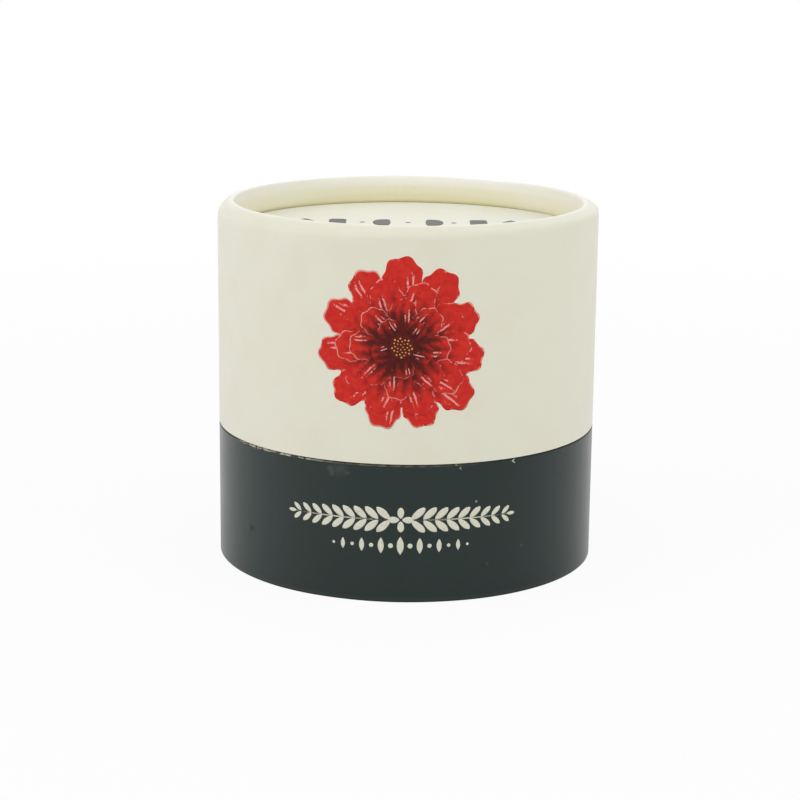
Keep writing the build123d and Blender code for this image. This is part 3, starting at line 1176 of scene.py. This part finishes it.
def petals(make):
    groups = []
    for number, (count, root, length, width, layer) in enumerate(make["tiers"]):
        feet, heading = wheel(count, root, make["middle"], 0.5 * (number % 2) * 2 * math.pi / count)
        heading = heading + dice.normal(0, 0.03, count)
        grow = 1 + dice.uniform(-0.07, 0.05, count)
        layers = layer + np.arange(count) % 2
        groups.append(motifs(leafShape(length, width, 72, 0.95, 0.3), feet, heading, grow, layers, 0.13, 11))
    return groups


def seedHead(make):
    radius = make["headRadius"]
    head = motifs(dotShape(radius, 48), np.array(make["middle"]) - [0, radius], 0, 1, 8, 0.05, 5)
    head["mark"][..., 0] = 0.05
    return [head]


def seeds(make):
    # seeds stand at golden-angle steps, their distance growing with the root of their number
    number = np.arange(make["seeds"]) + 0.5
    turn = number * math.pi * (3 - math.sqrt(5))
    away = make["seedReach"] * np.sqrt(number / make["seeds"])
    radius = 0.11 + 0.07 * number / make["seeds"]
    feet = np.array(make["middle"]) + np.stack([away * np.sin(turn), away * np.cos(turn) - radius], -1)
    return [motifs(dotShape(1.0, 10), feet, 0, radius, 9, 0.1, 2)]


inkFilm("rosettePetals", petals(rosetteSet), onWall, "petal", "lid")
inkFilm("rosetteHead", seedHead(rosetteSet), onWall, "petal", "lid")
inkFilm("rosetteGold", seeds(rosetteSet), onWall, "goldInk", "lid")
print("rosette printed")


# Ornaments on the base and on the top

garlandSet = {
    "middle": (-0.75, 15.9),
    "reach": 20.4,
    "pairs": 9,
    "leaf": (3.1, 0.62),
    "tilt": 0.72,
    "stem": 0.11,
    "stemGap": (1.9, 1.6),  # from the middle to the stem, and how much shorter than the reach it is
}


def garland(make):
    # leaves in pairs along a stem on both sides of a four-petalled middle, smaller towards the ends
    middle = np.array(make["middle"])
    share = (np.arange(make["pairs"]) + 0.9) / (make["pairs"] + 0.3)
    along = make["reach"] * share
    grow = 1.08 - 0.45 * share ** 2
    leaf = leafShape(*make["leaf"], 22, 1.25, 0.1)
    gap, shorter = make["stemGap"]
    stem = leafShape(make["reach"] - shorter, make["stem"], 40, 0.7, -0.1)
    groups = []
    for side in (-1, 1):
        feet = middle + np.stack([side * along, 0 * along], -1)
        for up in (-1, 1):
            heading = side * (math.pi / 2 - up * make["tilt"])
            groups.append(motifs(leaf, feet + [0, up * 0.12], heading, grow, 0, 0.05, 4))
        level = side * math.pi / 2
        groups.append(motifs(stem, middle + [side * gap, 0], level, 1, 1, 0, 3))
        groups.append(motifs(leaf, middle + [side * (make["reach"] + 0.2), 0], level, 0.55, 0, 0, 3))
    feet, heading = wheel(4, 0.25, middle)
    groups.append(motifs(leafShape(2.1, 0.62, 22, 1.25, 0.15), feet, heading, 1, 0, 0, 4))
    return groups


beadSet = {"middle": (-0.8, 10.95), "reach": 12.6, "beads": 15, "lozenge": (2.9, 0.55), "dot": 0.42}


def beadRow(make):
    # lozenges and dots in turn, tapering from the middle to both ends
    place = np.linspace(-1, 1, make["beads"])
    number = np.arange(make["beads"]) - make["beads"] // 2
    grow = 1.2 - 0.55 * np.abs(place)
    middles = np.array(make["middle"]) + np.stack([make["reach"] * place, 0 * place], -1)
    lozenge = number % 2 == 0
    groups = []
    tall, small = leafShape(*make["lozenge"], 20, 1.9, 0.0), dotShape(make["dot"], 16)
    for shape, chosen, rings in ((tall, lozenge, 4), (small, ~lozenge, 3)):
        feet = middles[chosen] - [0, 1] * (shape[:, 1].max() / 2 * grow[chosen, None])
        groups.append(motifs(shape, feet, 0, grow[chosen], 0, 0, rings))
    return groups


inkFilm("baseGarland", garland(garlandSet), onWall, "creamInk", "base")
inkFilm("baseBeads", beadRow(beadSet), onWall, "creamInk", "base")

friezeSet = {
    "line": 4.3,  # how far behind the middle of the box the row stands
    "tall": 8.0,
    "pieces": (  # kind of piece, its place to the right of the middle, its width
        ("lozenge", -20.4, 4.6), ("block", -13.9, 3.4), ("dot", -9.0, 1.1), ("moon", -4.2, -4.2),
        ("dot", 0.0, 1.1),
        ("moon", 4.2, 4.2), ("dot", 9.0, 1.1), ("block", 13.9, 3.4), ("lozenge", 20.4, 4.6),
    ),
    "powers": {"block": 0.3, "lozenge": 1.7, "dot": 1.0, "moon": 0.8},
}


def pieceShape(make, kind, width, points=48):
    # An outline clockwise from its foot. The power of sine and cosine squares a round off or pinches it to
    # a lozenge. A moon has its round side towards the sign of its width.
    turn = ring(points)
    sine, cosine, power = np.sin(turn), -np.cos(turn), make["powers"][kind]
    x = np.sign(sine) * np.abs(sine) ** power * abs(width) / 2
    y = np.sign(cosine) * np.abs(cosine) ** power * (abs(width) if kind == "dot" else make["tall"]) / 2
    if kind == "moon":
        x = np.where(x * width > 0, 1.3 * x, 0.35 * x)
    return np.stack([x, y - y.min()], -1)


def frieze(make):
    # a row of plain pieces, alike on both sides of its middle one
    groups = []
    for kind, place, width in make["pieces"]:
        shape = pieceShape(make, kind, width)
        groups.append(motifs(shape, [place, make["line"] - shape[:, 1].max() / 2]))
    return groups


inkFilm("lidTopFrieze", frieze(friezeSet), onTop, "darkInk", "lid")
print("ornaments printed")


# Torn paper fibres along the lid's lower edge

fibreSet = {"count": 26, "middle": -48.0, "spread": 5.5, "radius": 0.035, "length": (0.25, 0.7), "lift": 0.03}


def fibres(make):
    # each fibre is a bent path p = start + t way + t^2 bend, with a three-sided tube that thins to both ends
    count, rings, sides = make["count"], 7, 3
    bearing = np.radians(270 + make["middle"] + make["spread"] * dice.standard_normal(count))
    out = np.stack([np.cos(bearing), np.sin(bearing), 0 * bearing], -1)
    tangent = np.stack([-np.sin(bearing), np.cos(bearing), 0 * bearing], -1)
    start = out * outer + [0, 0, 1] * (seam - dice.uniform(0.02, 0.1, (count, 1)))
    way = tangent * dice.uniform(-1, 1, (count, 1)) + out * dice.uniform(0.1, 0.35, (count, 1))
    way = way + [0, 0, 1] * dice.uniform(-0.5, 0.12, (count, 1))
    way = way / np.linalg.norm(way, axis=1, keepdims=True) * dice.uniform(*make["length"], (count, 1))
    bend = tangent * dice.uniform(-0.4, 0.4, (count, 1))
    bend = bend + [0, 0, 1] * dice.uniform(-0.35, 0.1, (count, 1))
    share = np.linspace(0, 1, rings)[None, :, None]
    path = (start + make["lift"] * out)[:, None] + way[:, None] * share + bend[:, None] * share ** 2
    thick = make["radius"] * (1 - 0.75 * np.abs(2 * share - 1) ** 3)
    turn = ring(sides)[None, None, :, None]
    first, second = out[:, None, None], np.cross(way, out)
    second = second / np.maximum(np.linalg.norm(second, axis=1, keepdims=True), 1e-9)
    spoke = first * np.cos(turn) + second[:, None, None] * np.sin(turn)
    tubes = path[:, :, None] + thick[:, :, None] * spoke
    points = np.concatenate([tubes.reshape(count, -1, 3), path[:, :1], path[:, -1:]], 1)
    bases = points.shape[1] * np.arange(count)[:, None, None]
    quads = (gridFaces(rings, sides, False)[None] + bases).reshape(-1, 4)
    fans = (poleFaces(rings, sides)[None] + bases).reshape(-1, 3)
    piece = meshPiece("seamFibres", points.reshape(-1, 3), quads, fans, "cream", "lid", {})


fibres(fibreSet)
print("seam fibres made")


# Floor, lamps and surroundings

stageSet = {
    "floorReach": 3.0,  # metres
    "floorLow": 0.02,  # millimetres below the foot
    "floorColour": tint(231, 231, 230),
    "floorGrain": tint(224, 224, 222),
    "whiteNear": 0.92,  # share of plain white where the floor is seen beside the box
    "whiteMirrored": 0.45,  # and where it is mirrored in a gloss
    "whiteFrom": 0.16,  # metres from the middle of the box, where that share starts to rise
    "whiteFull": 0.45,
    "surround": 0.7,
    "surroundColour": (0.985, 1.0, 1.03),
    "lamps": (  # name, place in metres, size in metres, power in watts, colour, whether a gloss mirrors it
        ("leftLamp", (-0.75, -0.35, 0.55), 0.7, 2.72, (0.97, 0.95, 1.0), False),
        ("rightLamp", (0.8, -0.4, 0.5), 0.7, 2.15, (0.97, 1.0, 0.985), False),
        ("topLamp", (0.0, -0.35, 1.05), 0.9, 1.36, (1.0, 0.91, 0.82), False),
        ("backLamp", (0.1, 1.0, 0.4), 1.4, 2.3, (1.0, 0.99, 0.98), True),
    ),
}
plainWhite = {"Color": (1.0, 1.0, 1.0), "Strength": 1.0}


def lookingRays(shade):
    # 1 for rays that see the surroundings straight, and 1 for rays that mirror them
    path = shade.node("LightPath", {}, {}, "Is Camera Ray")
    return path.atLeast(path.beside("Is Transmission Ray")), path.beside("Is Glossy Ray")


def makeFloor(make):
    # pale floor; seen straight or in a gloss part of it is its own white, so the shadow stays but is light
    mesh = bpy.data.meshes.new("floor")
    reach, low = make["floorReach"], -make["floorLow"] * mm
    corners = [(-reach, -reach, low), (reach, -reach, low), (reach, reach, low), (-reach, reach, low)]
    mesh.from_pydata(corners, [], [(0, 1, 2, 3)])
    shade, where = newShade("paleFloor")
    grain = shade.noise(where, 2.0, 3)
    colour = shade.mix(grain * 0.04, make["floorColour"], make["floorGrain"])
    lit = shade.node("BsdfDiffuse", {}, {"Color": colour})
    white = shade.node("Emission", {}, plainWhite)
    far = shade.rise(shade.vector("LENGTH", where, out="Value"), make["whiteFrom"], make["whiteFull"])
    straight, mirrored = lookingRays(shade)
    near, nearMirrored = make["whiteNear"], make["whiteMirrored"]
    share = straight * (near + (1 - near) * far) + mirrored * (nearMirrored + (1 - nearMirrored) * far)
    shade.done(shade.node("MixShader", {}, {0: share, 1: lit, 2: white}))
    mesh.materials.append(shade.owner)
    newObject("floor", mesh)


def makeSurround(make):
    # even pale surround for light, plain white where it is seen or mirrored
    world = bpy.data.worlds.new("surround")
    bpy.context.scene.world = world
    shade = Shade(world)
    straight, mirrored = lookingRays(shade)
    light = shade.node("Background", {}, {"Color": make["surroundColour"], "Strength": make["surround"]})
    white = shade.node("Background", {}, plainWhite)
    seen = shade.node("MixShader", {}, {0: straight.atLeast(mirrored), 1: light, 2: white})
    shade.done(seen, "OutputWorld")


def makeLamps(make):
    # large square lamps aimed at the middle of the box
    target = Vector((0, 0, lidTop / 2 * mm))
    for name, spot, side, power, colour, mirrored in make["lamps"]:
        lamp = bpy.data.lights.new(name, "AREA")
        lamp.size, lamp.energy, lamp.color = side, power, colour
        holder = newObject(name, lamp)
        holder.location = spot
        holder.rotation_euler = (target - Vector(spot)).to_track_quat("-Z", "Y").to_euler()
        holder.visible_glossy = mirrored
        holder.visible_camera = False


makeFloor(stageSet)
makeSurround(stageSet)
makeLamps(stageSet)
bpy.context.scene.view_settings.view_transform = "Standard"
print("floor, lamps and surroundings made")
